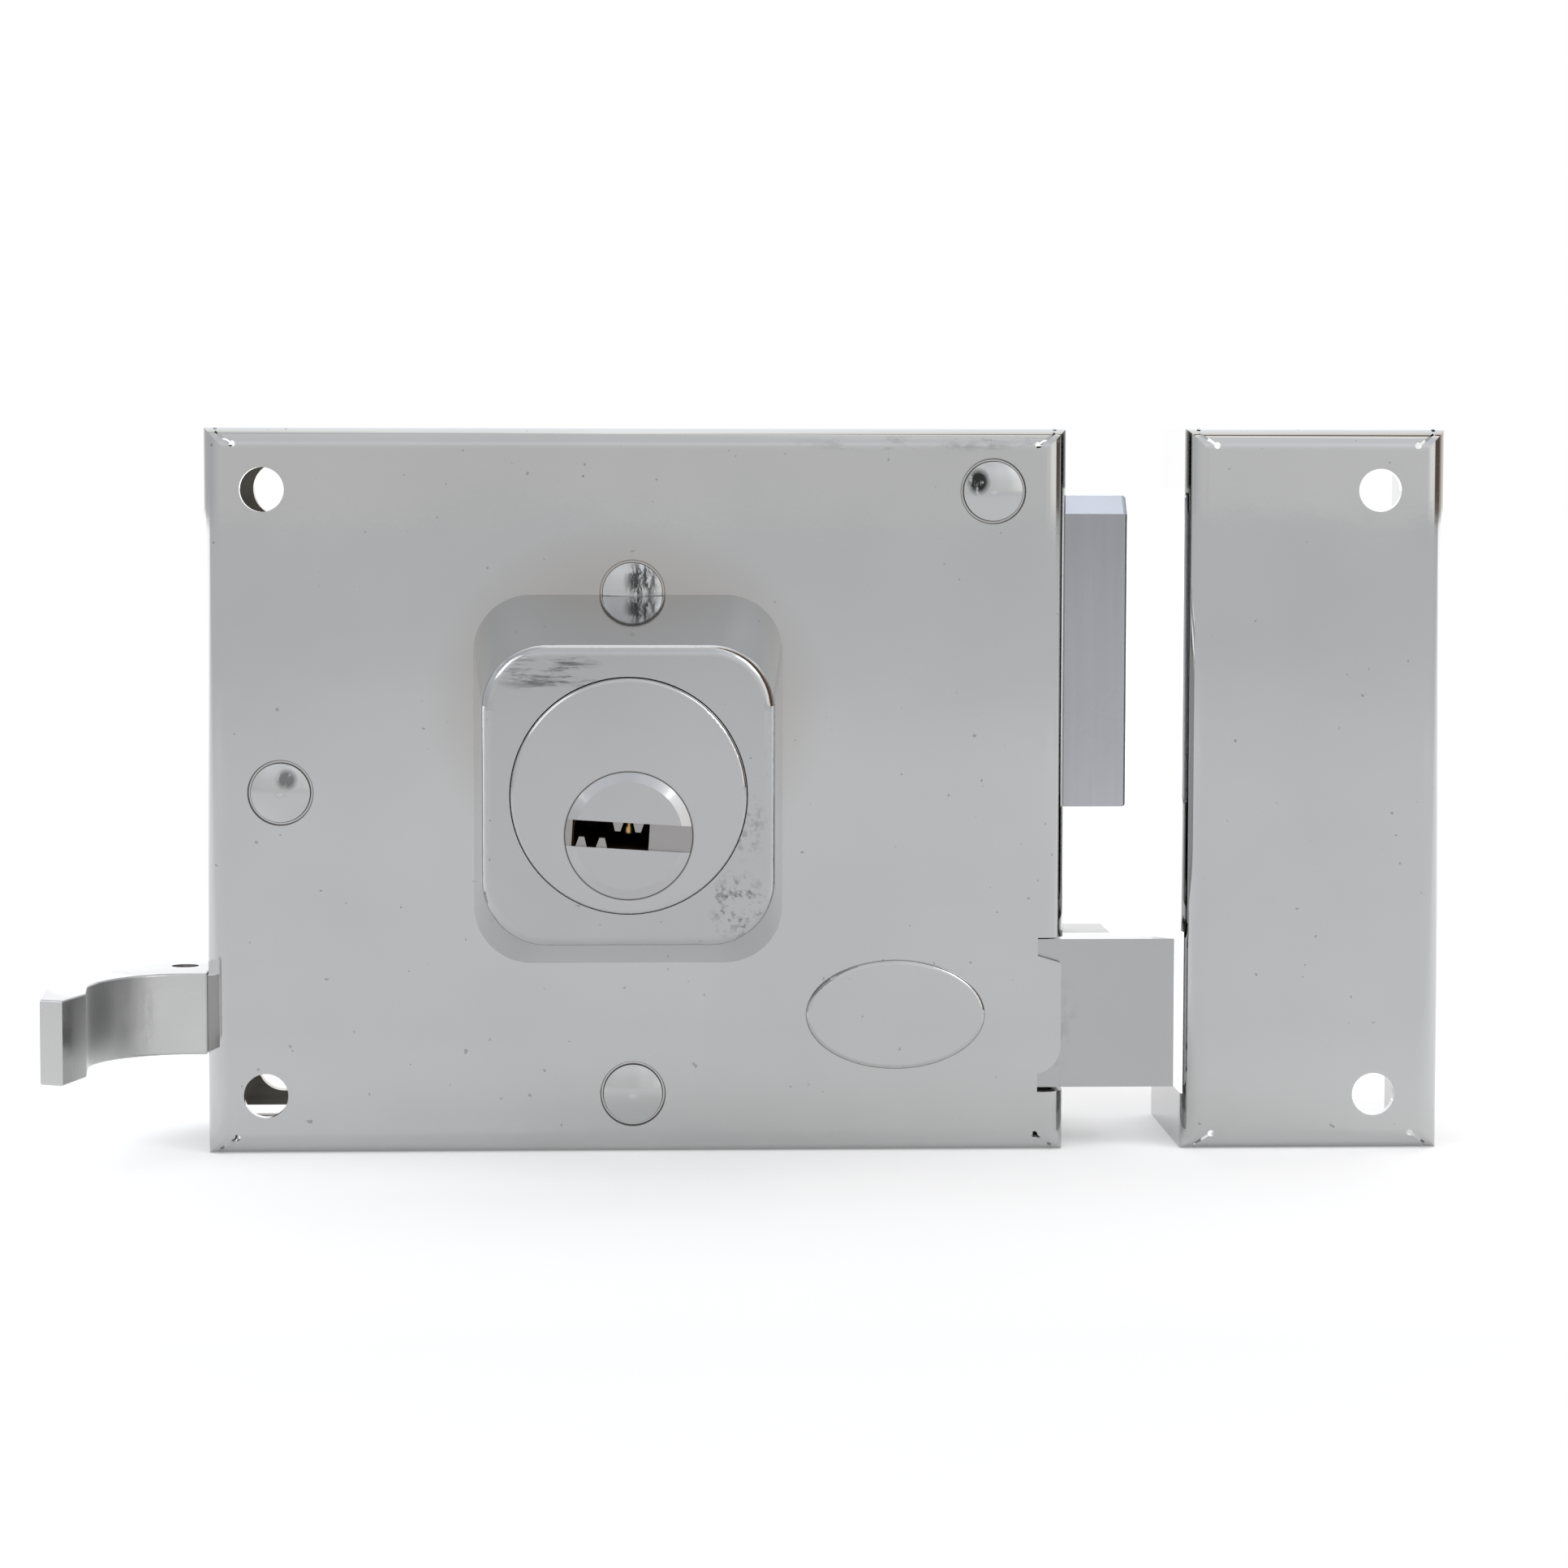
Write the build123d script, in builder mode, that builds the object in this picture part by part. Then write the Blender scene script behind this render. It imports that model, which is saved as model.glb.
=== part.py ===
from build123d import *

import os
from math import acos, cos, pi, radians, sin, sqrt, tan

# Rim box lock with a finger pull, and its strike, in millimetres.
# +X runs towards the door's edge and the strike, +Y into the door and +Z up.
# The origin is on the plug's axis, in the plane of the door's face.
os.makedirs("parts", exist_ok=True)

# Case, pressed from one sheet with four folded flanges
case_width = 120.0
case_height = 101.5
case_depth = 33.0
backset = 61.2
axis_below_top = 54.1
sheet = 1.5
bend_radius = 3.0
slit_width = 0.5
relief_radius = 0.45
relief_reach = 2.4
relief_width = 0.35
overrun = 1.0

# Back plate, flush with the rear edges of the flanges
back_sheet = 2.0
plate_side_gap = 0.3
plate_end_gap = 0.8

# Screw holes through the case, in one column near its free side
mount_radius = 3.1
mount_rear_radius = 3.9
mount_inset = 8.2
mount_end_inset = 8.5
mount_drop = 0.2

# Oval pad pressed out of the case's face
pad_width = 25.2
pad_height = 15.4
pad_rise = 0.8
pad_edge = 0.6
pad_inset = 23.8
pad_above_bottom = 19.5

# Pillars between the face and the back plate, riveted over at the front
pillar_radius = 3.0
pillar_tenon_radius = 2.0
rivet_head_radius = 4.1
rivet_head_rise = 0.7
rivet_seat_radius = 4.55
rivet_seat_depth = 0.75
pillar_offset = 0.6
upper_pillar_height = 31.2
lower_pillar_above_bottom = 8.4
side_pillar_inset = 10.5
corner_rivet_inset = 10.4
corner_rivet_below_top = 8.8
screw_radius = 1.9
screw_head_radius = 3.6
screw_length = 9.0
thread_gap = 0.05
screw_slot_width = 0.9
screw_slot_depth = 0.8

# Cylinder escutcheon, a tapered casting on the case's face
boss_base_width = 43.0
boss_base_height = 51.4
boss_front_width = 38.6
boss_front_height = 39.4
boss_projection = 30.0
boss_base_corner = 8.0
boss_front_corner = 8.6
boss_bevel = 1.5
boss_wall = 2.6
boss_nose = 5.0
boss_post_radius = 3.4
boss_post_length = 9.0
boss_rivet_gap = 0.25
boss_screw_radius = 1.6
boss_screw_head_radius = 2.9
boss_screw_head = 1.6
boss_screw_length = 8.0
boss_screw_share = 0.7

# Lock cylinder, with its plug below the housing's centre
housing_radius = 15.6
housing_proud = 0.9
housing_edge = 0.5
housing_gap = 0.15
plug_drop = 5.2
plug_radius = 7.2
plug_face_radius = 8.4
plug_face_depth = 2.2
plug_proud = 0.6
plug_rim = 1.3
running_gap = 0.05
keyway_tilt = 3.5
keyway_height = 3.5
keyway_left = 7.5
keyway_right = 2.7
keyway_end_wall = 2.0
slot_depth = 0.9
ward_height = 1.25
ward_width = 1.45
ward_tip = 0.7
upper_ward_places = (-1.5, 1.2)
lower_ward_places = (-6.2, -3.5)
pin_count = 5
pin_pitch = 4.4
first_pin = 6.5
pin_radius = 1.5
pin_gap = 0.05
pin_tip_radius = 0.8
pin_tip_reach = 2.3
pin_tip_round = 0.45
driver_length = 4.5
chamber_plug_length = 2.0
chamber_plug_sunk = 0.5
spring_wall = 0.35
spring_play = 0.2
cylinder_screw_radius = 1.8
cylinder_screw_head_radius = 3.2
cylinder_screw_head = 1.6
cylinder_screw_length = 10.0
cylinder_screw_across = 9.5
cylinder_screw_above = 5.0
plug_hole_gap = 1.6
clip_thickness = 0.9
clip_lip = 1.2
clip_groove_depth = 0.9
clip_opening = 50.0

# Gear train from the plug to the deadbolt
gear_module = 1.0
pressure_angle = 25.0
addendum_share = 0.65
dedendum_share = 0.9
backlash = 0.14
plug_teeth = 10
wheel_teeth = 30
rack_pinion_teeth = 9
train_angle = 30.0
gear_front = 4.2
gear_width = 3.5
gear_step = 0.5
rack_width = 4.0
plug_tail_square = 4.4
plug_collar_radius = 3.6
plug_stub_radius = 2.0
plug_stub_length = 4.0
small_clip_thickness = 0.7
small_clip_lip = 1.3
arbor_radius = 2.0
arbor_shoulder_radius = 3.6
arbor_nose = 1.6
post_tenon_radius = 1.8
lightening_radius = 2.6
lightening_count = 5
face_gap = 0.3
square_gap = 0.04

# Deadbolt and its toothed tail
bolt_below_top = 9.4
bolt_height = 44.1
bolt_thickness = 16.0
bolt_inside = 26.0
bolt_chamfer = 2.6
bolt_corner = 0.6
bolt_window_gap = 0.35
pillar_tail_gap = 1.35
tail_reach = 40.0
tail_lap = 12.0
tail_rivet_radius = 1.5
tail_rivet_shares = (0.3, 0.75)
tail_rivet_length = 12.0
guide_post_radius = 2.0
guide_shoulder_radius = 3.2
guide_pad_width = 16.0
guide_pad_height = 26.0
drag_spring_sheet = 0.6
drag_spring_width = 9.0
drag_spring_length = 36.0
drag_spring_gap = 0.4
drag_crest_share = 0.62
drag_rivet_radius = 3.2
drag_rivet_head = 0.8

# Latch bolt, its carrier and the spring that throws it
latch_above_bottom = 8.8
latch_height = 21.0
latch_projection = 15.7
latch_travel = 14.5
latch_behind_face = 0.5
nose_thickness = 8.0
nose_flat = 0.7
nose_length = 34.0
carrier_projection = 7.6
carrier_thickness = 12.0
carrier_inside = 20.0
latch_window_gap = 0.4
tab_short = 2.6
tab_slope = 1.0
tab_round = 4.0
latch_rivet_radius = 1.5
latch_rivet_shares = (0.3, 0.65)
bar_drop = 0.6
bar_height = 8.0
bar_thickness = 6.0
latch_post_from_edge = 41.0
spring_radius = 3.0
spring_wire = 0.7
spring_above_bar = 3.6
spring_rod_radius = 1.2
spring_rod_seat = 8.0
spring_rod_tip = 2.0
spring_length = 42.0
bracket_sheet = 2.0
bracket_width = 12.0
bracket_foot = 12.0
bracket_margin = 3.6
bracket_rise = 3.2

# Finger pull, cast, pinned on the end of the latch's bar
pull_height = 11.6
pull_front = 9.0
pull_thickness = 18.0
pull_hollow_radius = 13.5
pull_hollow_offset = 2.3
pull_lip_lean = 6.0
pull_lip_out = 13.0
pull_tip_out = 21.0
pull_tip_slope = 1.4
pull_tip_width = 3.2
pull_lip_slope = 2.1
pull_wall = 5.2
pull_outer_bend = 9.0
pull_edge = 0.35
pull_from_case = 0.8
pull_neck = 9.0
pull_neck_step = 0.35
pull_tongue_past_pin = 2.8
pull_socket_gap = 0.1
pull_pin_radius = 1.9
pull_pin_gap = 0.05
pull_pin_from_case = 4.8
pull_pin_sunk = 0.8
pull_notch_gap = 0.5
pull_bend_notch_rise = 2.4
pull_bend_notch_short = 1.4
pull_bend_notch_in = 1.8

# Strike, a folded box on the door frame
strike_gap = 16.7
strike_width = 36.5
strike_hole_radius = 3.0
strike_hole_inset = 9.4
strike_hole_end_inset = 8.25
strike_hole_drop = 0.35
strike_window_gap = 1.0

# Bore in the back plate for the outside cylinder's tail, and the holes for its two screws
outer_bore_radius = 9.0
outer_screw_radius = 2.1

# Places worked out from the sizes above
case_right = backset
case_left = backset - case_width
case_top = axis_below_top
case_bottom = axis_below_top - case_height
case_middle = (case_top + case_bottom) / 2
face_y = -case_depth
plate_front = case_depth - back_sheet
mount_x = case_left + mount_inset
mount_z = case_middle - mount_drop
mount_spacing = case_height - 2 * mount_end_inset
corner_rivet = (case_right - corner_rivet_inset, case_top - corner_rivet_below_top)
pillar_places = (
    (pillar_offset, upper_pillar_height),
    (pillar_offset, case_bottom + lower_pillar_above_bottom),
    (case_left + side_pillar_inset, case_middle),
)
housing_z = plug_drop
cylinder_rear = 0.0
boss_face = -boss_projection
boss_screw_x = boss_base_width * boss_screw_share / 2
boss_screw_rise = boss_base_height * boss_screw_share / 2
boss_screw_places = [
    (x, housing_z + rise)
    for x in (-boss_screw_x, boss_screw_x)
    for rise in (-boss_screw_rise, boss_screw_rise)
]
cylinder_face = boss_face - housing_proud
plug_face = cylinder_face - plug_proud

pitch_radius_plug = gear_module * plug_teeth / 2
pitch_radius_wheel = gear_module * wheel_teeth / 2
pitch_radius_rack = gear_module * rack_pinion_teeth / 2
centre_distance = pitch_radius_plug + pitch_radius_wheel
wheel_x = centre_distance * cos(radians(train_angle))
wheel_z = centre_distance * sin(radians(train_angle))
rack_pitch_z = wheel_z + pitch_radius_rack
travel_per_turn = 2 * pi * pitch_radius_rack * plug_teeth / wheel_teeth
addendum = addendum_share * gear_module
dedendum = dedendum_share * gear_module
gear_rear = gear_front + gear_width
rack_front = gear_rear + gear_step
rack_rear = rack_front + rack_width

bolt_end = case_right + travel_per_turn
bolt_start = case_right - bolt_inside
bolt_top = case_top - bolt_below_top
bolt_bottom = bolt_top - bolt_height
bolt_front = rack_front
bolt_rear = bolt_front + bolt_thickness
tail_start = bolt_start - tail_reach
tail_end = bolt_start + tail_lap
tail_bottom = rack_pitch_z - addendum
tail_top = upper_pillar_height - pillar_radius - pillar_tail_gap
tail_height = tail_top - tail_bottom
rack_root = rack_pitch_z + dedendum
bolt_post_z = (rack_root + tail_top) / 2

latch_bottom = case_bottom + latch_above_bottom
latch_top = latch_bottom + latch_height
nose_front = sheet + latch_behind_face
nose_rear = nose_front + nose_thickness
carrier_rear = nose_rear + carrier_thickness
latch_end = case_right + latch_projection
carrier_end = case_right + carrier_projection
carrier_start = case_right - carrier_inside
pull_rear = pull_front + pull_thickness
bar_z = (latch_top + latch_bottom) / 2 - bar_drop
bar_middle = (pull_front + pull_rear) / 2
bar_front = bar_middle - bar_thickness / 2
spring_z = bar_z + bar_height / 2 + spring_above_bar
latch_post_x = case_right - latch_post_from_edge
bracket_x = carrier_start - spring_length
post_places = ((wheel_x, wheel_z), (wheel_x, bolt_post_z), (latch_post_x, bar_z))
cylinder_screw_places = (
    (-cylinder_screw_across, housing_z + cylinder_screw_above),
    (cylinder_screw_across, housing_z + cylinder_screw_above),
)

strike_left = case_right + strike_gap
strike_right = strike_left + strike_width
strike_hole_x = strike_right - strike_hole_inset
strike_hole_z = case_middle - strike_hole_drop
strike_hole_spacing = case_height - 2 * strike_hole_end_inset


def depth_plane(behind_face):
    """Plane parallel to the case's face, that far behind it; its x is +X and its y is +Z."""
    return Plane.XZ.offset(case_depth - behind_face)


def turned(x, z, steps):
    """One solid of stacked discs on an axis along Y: (from, to, radius) behind the case's face."""
    with BuildPart() as stack:
        for start, end, radius in steps:
            with BuildSketch(depth_plane(start)):
                with Locations((x, z)):
                    Circle(radius)
            extrude(amount=start - end)
    return stack.part


def folded_box(left, right, top, bottom):
    """Sheet box, open at the door's face, with its four front bends rounded."""
    width = right - left
    height = top - bottom
    centre = ((left + right) / 2, (top + bottom) / 2)
    with BuildPart() as box:
        with BuildSketch(depth_plane(0)):
            with Locations(centre):
                Rectangle(width, height)
        extrude(amount=-case_depth)
        fillet(box.faces().sort_by(Axis.Y)[0].edges(), bend_radius)
    with BuildPart() as hollow:
        with BuildSketch(depth_plane(sheet)):
            with Locations(centre):
                Rectangle(width - 2 * sheet, height - 2 * sheet)
        extrude(amount=sheet - case_depth - overrun)
        fillet(hollow.faces().sort_by(Axis.Y)[0].edges(), bend_radius - sheet)
    return box.part - hollow.part


def corner_slits(left, right, top, bottom):
    """Slits that part the folded flanges at each corner, with the relief cut into the face."""
    with BuildPart() as slits:
        for side_x, inward in ((left, 1), (right, -1)):
            slit_x = side_x + inward * (sheet + slit_width / 2)
            for side_z, down in ((top, -1), (bottom, 1)):
                with BuildSketch(depth_plane(sheet)):
                    with Locations((slit_x, side_z)):
                        Rectangle(slit_width, 2 * sheet)
                extrude(amount=sheet - case_depth - overrun)
                relief = (slit_x + inward * relief_reach, side_z + down * relief_reach)
                with BuildSketch(depth_plane(-overrun)):
                    with BuildLine():
                        run = Line((slit_x, side_z + down * sheet / 2), relief)
                    trace(run, line_width=relief_width)
                    with Locations(relief):
                        Circle(relief_radius)
                extrude(amount=-sheet - 2 * overrun)
    return slits.part


def gear_outline(teeth, first_tooth):
    """Points round a gear of straight-chord involute teeth; first_tooth is one tooth's angle."""
    pitch = gear_module * teeth / 2
    base = pitch * cos(radians(pressure_angle))
    root = pitch - dedendum
    tip = pitch + addendum
    half_pitch_angle = (pi * gear_module / 2 - backlash) / (2 * pitch)

    def unrolled(radius):
        angle = acos(min(1, base / radius))
        return tan(angle) - angle

    radii = sorted({root, max(root, base), pitch, tip})
    points = []
    for tooth in range(teeth):
        middle = radians(first_tooth) + 2 * pi * tooth / teeth
        for side in (-1, 1):
            for radius in radii if side < 0 else reversed(radii):
                half = half_pitch_angle + unrolled(pitch) - unrolled(max(radius, base))
                turn = middle + side * half
                points.append((radius * cos(turn), radius * sin(turn)))
    return points


def gear(teeth, first_tooth, x, z, front, rear):
    """A spur gear on an axis along Y."""
    with BuildPart() as blank:
        with BuildSketch(depth_plane(front)):
            with BuildLine():
                Polyline(*[(x + u, z + v) for u, v in gear_outline(teeth, first_tooth)], close=True)
            make_face()
        extrude(amount=front - rear)
    return blank.part


def split_ring(x, z, front, rear, inner, outer):
    """A retaining clip: a flat ring with a gap, which opens downwards."""
    with BuildPart() as ring:
        with BuildSketch(depth_plane(front)):
            with Locations((x, z)):
                Circle(outer)
                Circle(inner, mode=Mode.SUBTRACT)
            with BuildLine():
                half = radians(clip_opening / 2)
                reach = 2 * outer
                Polyline(
                    (x, z),
                    (x - reach * sin(half), z - reach * cos(half)),
                    (x + reach * sin(half), z - reach * cos(half)),
                    close=True,
                )
            make_face(mode=Mode.SUBTRACT)
        extrude(amount=front - rear)
    return ring.part


def save(piece, name):
    """Labels a finished piece and writes it as its own file."""
    piece.label = name
    export_step(piece, f"parts/{name}.step")


# Case

with BuildPart() as front_cover:
    add(folded_box(case_left, case_right, case_top, case_bottom))
    pad_centre = (case_right - pad_inset, case_bottom + pad_above_bottom)
    with BuildSketch(depth_plane(sheet)):
        with Locations(pad_centre):
            Ellipse(pad_width / 2, pad_height / 2)
    extrude(amount=sheet + pad_rise)
    pad_rim = front_cover.faces().sort_by(Axis.Y)[0].edges()
    fillet(pad_rim, pad_edge)
    with BuildSketch(depth_plane(sheet)):
        with Locations(pad_centre):
            Ellipse(pad_width / 2 - sheet, pad_height / 2 - sheet)
    extrude(amount=pad_rise, mode=Mode.SUBTRACT)
    # Screw holes, rivet holes with their shallow seats, and the ways through to the boss
    with BuildSketch(depth_plane(sheet)):
        with Locations((mount_x, mount_z)):
            with GridLocations(0, mount_spacing, 1, 2):
                Circle(mount_radius)
        with Locations(corner_rivet, *pillar_places):
            Circle(pillar_tenon_radius)
        Circle(plug_radius + plug_hole_gap)
        with Locations(*cylinder_screw_places):
            Circle(cylinder_screw_radius + thread_gap)
        with Locations(*boss_screw_places):
            Circle(boss_screw_radius + thread_gap)
    extrude(amount=sheet + overrun, mode=Mode.SUBTRACT)
    with BuildSketch(depth_plane(0)):
        with Locations(corner_rivet, *pillar_places):
            Circle(rivet_seat_radius)
    extrude(amount=-rivet_seat_depth, mode=Mode.SUBTRACT)
    # Deadbolt's window in the flange
    with BuildSketch(Plane.YZ.offset(case_right - bend_radius)):
        with Locations((face_y + (bolt_front + bolt_rear) / 2, (bolt_top + bolt_bottom) / 2)):
            Rectangle(bolt_thickness + 2 * bolt_window_gap, bolt_height + 2 * bolt_window_gap)
    extrude(amount=bend_radius + overrun, mode=Mode.SUBTRACT)
    # Latch's gap in the flange and the bend, with a flat tab of the face left inside it
    gap_top = latch_top + latch_window_gap
    gap_bottom = latch_bottom - latch_window_gap
    gap_rear = carrier_rear + latch_window_gap
    with BuildSketch(depth_plane(-overrun)):
        with Locations((case_right, (gap_top + gap_bottom) / 2)):
            Rectangle(2 * (bend_radius + pad_rise), gap_top - gap_bottom)
    extrude(amount=-overrun - gap_rear, mode=Mode.SUBTRACT)
    tab_in = case_right - bend_radius - pad_rise
    tab_out = case_right - latch_behind_face
    with BuildSketch(depth_plane(0)):
        with BuildLine():
            Polyline(
                (tab_in, gap_bottom + tab_short),
                (tab_in, gap_top - tab_short),
                (tab_out, gap_top - tab_short - tab_slope),
                (tab_out, gap_bottom + tab_short + tab_round),
            )
            RadiusArc(
                (tab_out, gap_bottom + tab_short + tab_round),
                (tab_in, gap_bottom + tab_short),
                tab_round,
            )
        make_face()
    extrude(amount=-sheet)
    # Finger pull's notch, taller in the flange than in the bend
    notch_top = bar_z + pull_height / 2 + pull_notch_gap
    notch_bottom = bar_z - pull_height / 2 - pull_notch_gap
    with BuildSketch(depth_plane(bend_radius)):
        with Locations((case_left, (notch_top + notch_bottom) / 2)):
            Rectangle(2 * (sheet + overrun), notch_top - notch_bottom)
    extrude(amount=bend_radius - pull_rear - pull_notch_gap, mode=Mode.SUBTRACT)
    with BuildSketch(depth_plane(-overrun)):
        with BuildLine():
            Polyline(
                (case_left - overrun, notch_top + pull_bend_notch_rise - bend_radius / 2),
                (case_left + sheet / 2, notch_top + pull_bend_notch_rise),
                (case_left + pull_bend_notch_in, notch_top + pull_bend_notch_rise),
                (case_left + pull_bend_notch_in, notch_bottom + 2 * pull_bend_notch_short),
                (case_left - overrun, notch_bottom + pull_bend_notch_short),
                close=True,
            )
        make_face()
    extrude(amount=-overrun - bend_radius - pull_notch_gap, mode=Mode.SUBTRACT)
    add(corner_slits(case_left, case_right, case_top, case_bottom), mode=Mode.SUBTRACT)
save(front_cover.part, "front_cover")

with BuildPart() as back_plate:
    with BuildSketch(depth_plane(plate_front)):
        with Locations(((case_left + case_right) / 2, case_middle)):
            Rectangle(
                case_width - 2 * (sheet + plate_side_gap),
                case_height - 2 * (sheet + plate_end_gap),
            )
        with Locations((mount_x, mount_z)):
            with GridLocations(0, mount_spacing, 1, 2):
                Circle(mount_rear_radius, mode=Mode.SUBTRACT)
        Circle(outer_bore_radius, mode=Mode.SUBTRACT)
        with Locations(*cylinder_screw_places):
            Circle(outer_screw_radius, mode=Mode.SUBTRACT)
        with Locations(*post_places):
            Circle(post_tenon_radius + thread_gap, mode=Mode.SUBTRACT)
    extrude(amount=-back_sheet)
    with Locations(*[Location((x, 0, z), (-90, 0, 0)) for x, z in pillar_places]):
        CounterSinkHole(screw_radius + thread_gap, screw_head_radius, depth=back_sheet)
save(back_plate.part, "back_plate")


def lathe(x, z, outline):
    """A turned piece on an axis along Y, from (radius, depth behind the case's face) points."""
    with BuildPart() as piece:
        with BuildSketch(Plane.XY.offset(z)):
            with BuildLine():
                Polyline(*[(x + radius, face_y + depth) for radius, depth in outline], close=True)
            make_face()
        revolve(axis=Axis((x, 0, z), (0, 1, 0)))
    return piece.part


def rivet_dome(x, z):
    """The domed head that a pillar or rivet shows in its seat on the case's face."""
    with BuildPart() as dome:
        with BuildSketch(Plane.XY.offset(z)):
            with BuildLine():
                Polyline(
                    (x, face_y - rivet_head_rise),
                    (x, face_y + rivet_seat_depth),
                    (x + rivet_head_radius, face_y + rivet_seat_depth),
                    (x + rivet_head_radius, face_y),
                )
                TangentArc(
                    (x, face_y - rivet_head_rise),
                    (x + rivet_head_radius, face_y),
                    tangent=(1, 0),
                )
            make_face()
        revolve(axis=Axis((x, 0, z), (0, 1, 0)))
    return dome.part


def countersunk_screw(x, z):
    """A screw with its head flush in the back plate, its point towards the case's face."""
    head = back_sheet - thread_gap
    with BuildPart() as screw:
        add(
            lathe(
                x,
                z,
                [
                    (0, case_depth),
                    (screw_head_radius, case_depth),
                    (screw_radius, case_depth - head),
                    (screw_radius, case_depth - screw_length),
                    (0, case_depth - screw_length),
                ],
            )
        )
        with BuildSketch(depth_plane(case_depth)):
            with Locations((x, z)):
                Rectangle(2 * screw_head_radius, screw_slot_width)
        extrude(amount=screw_slot_depth, mode=Mode.SUBTRACT)
    return screw.part


def cap_screw(x, z, radius, head_radius, head, length):
    """A screw from inside the case, through its sheet, with a slotted flat head."""
    with BuildPart() as screw:
        add(turned(x, z, [(sheet - length, sheet, radius), (sheet, sheet + head, head_radius)]))
        with BuildSketch(depth_plane(sheet + head)):
            with Locations((x, z)):
                Rectangle(2 * head_radius, screw_slot_width)
        extrude(amount=screw_slot_depth, mode=Mode.SUBTRACT)
    return screw.part


# Pillars and the screws that hold the back plate on them

with BuildPart() as cover_pillars:
    for x, z in pillar_places:
        add(rivet_dome(x, z))
        steps = [(rivet_seat_depth, sheet, pillar_tenon_radius), (sheet, plate_front, pillar_radius)]
        add(turned(x, z, steps))
        with BuildSketch(depth_plane(plate_front)):
            with Locations((x, z)):
                Circle(screw_radius + thread_gap)
        extrude(amount=screw_length - back_sheet + thread_gap, mode=Mode.SUBTRACT)
save(cover_pillars.part, "cover_pillars")

with BuildPart() as back_plate_screws:
    for x, z in pillar_places:
        add(countersunk_screw(x, z))
save(back_plate_screws.part, "back_plate_screws")

# Drag spring that keeps the deadbolt from rattling, and the rivet that holds it

with BuildPart() as drag_spring:
    spring_x, spring_top = corner_rivet[0], corner_rivet[1] + drag_spring_width / 2
    crest = bolt_front - drag_spring_gap - drag_spring_sheet
    with BuildSketch(Plane.YZ.offset(spring_x - drag_spring_width / 2)):
        with BuildLine():
            front_side = [
                (spring_top, sheet),
                (spring_top - drag_spring_width, sheet),
                (spring_top - drag_spring_length * drag_crest_share, crest),
                (spring_top - drag_spring_length, (sheet + crest) / 2),
            ]
            rear_side = [(z, depth + drag_spring_sheet) for z, depth in reversed(front_side)]
            Polyline(*[(face_y + depth, z) for z, depth in front_side + rear_side], close=True)
        make_face()
    extrude(amount=drag_spring_width)
    with BuildSketch(depth_plane(sheet)):
        with Locations(corner_rivet):
            Circle(pillar_tenon_radius)
    extrude(amount=-drag_spring_sheet, mode=Mode.SUBTRACT)
save(drag_spring.part, "drag_spring")

with BuildPart() as drag_spring_rivet:
    add(rivet_dome(*corner_rivet))
    inner_face = sheet + drag_spring_sheet
    add(
        turned(
            *corner_rivet,
            [
                (rivet_seat_depth, inner_face, pillar_tenon_radius),
                (inner_face, inner_face + drag_rivet_head, drag_rivet_radius),
            ],
        )
    )
save(drag_spring_rivet.part, "drag_spring_rivet")

# Escutcheon round the cylinder

with BuildPart() as escutcheon:
    with BuildSketch(depth_plane(0)):
        with Locations((0, housing_z)):
            RectangleRounded(boss_base_width, boss_base_height, boss_base_corner)
    with BuildSketch(depth_plane(boss_face)):
        with Locations((0, housing_z)):
            RectangleRounded(boss_front_width, boss_front_height, boss_front_corner)
    loft()
    fillet(escutcheon.faces().sort_by(Axis.Y)[0].edges(), boss_bevel)
    with BuildSketch(depth_plane(0)) as hollow_base:
        with Locations((0, housing_z)):
            RectangleRounded(
                boss_base_width - 2 * boss_wall,
                boss_base_height - 2 * boss_wall,
                boss_base_corner - boss_wall,
            )
    with BuildSketch(depth_plane(boss_face + boss_nose)) as hollow_end:
        with Locations((0, housing_z)):
            RectangleRounded(
                boss_front_width - 2 * boss_wall,
                boss_front_height - 2 * boss_wall,
                boss_front_corner - boss_wall,
            )
    loft(mode=Mode.SUBTRACT)
    with BuildSketch(depth_plane(0)):
        with Locations(*boss_screw_places):
            Circle(boss_post_radius)
    extrude(amount=boss_post_length)
    with BuildSketch(depth_plane(0)):
        with Locations(*boss_screw_places):
            Circle(boss_screw_radius + thread_gap)
    extrude(amount=boss_screw_length - sheet + thread_gap, mode=Mode.SUBTRACT)
    with BuildSketch(depth_plane(0)):
        with Locations((0, housing_z)):
            Circle(housing_radius + housing_gap)
    extrude(amount=boss_projection + overrun, mode=Mode.SUBTRACT)
    with BuildSketch(depth_plane(0)):
        with Locations(pillar_places[0]):
            Circle(rivet_head_radius + boss_rivet_gap)
    extrude(amount=rivet_head_rise + boss_rivet_gap, mode=Mode.SUBTRACT)
save(escutcheon.part, "cylinder_escutcheon")

with BuildPart() as escutcheon_screws:
    for x, z in boss_screw_places:
        add(cap_screw(x, z, boss_screw_radius, boss_screw_head_radius, boss_screw_head, boss_screw_length))
save(escutcheon_screws.part, "escutcheon_screws")

# Lock cylinder: housing, plug, pins and springs

pin_places = [cylinder_face + first_pin + index * pin_pitch for index in range(pin_count)]
housing_top = housing_z + sqrt(housing_radius**2 - pin_radius**2)
driver_bottom = plug_radius + pin_gap
chamber_plug_bottom = housing_top - chamber_plug_sunk - chamber_plug_length

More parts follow.
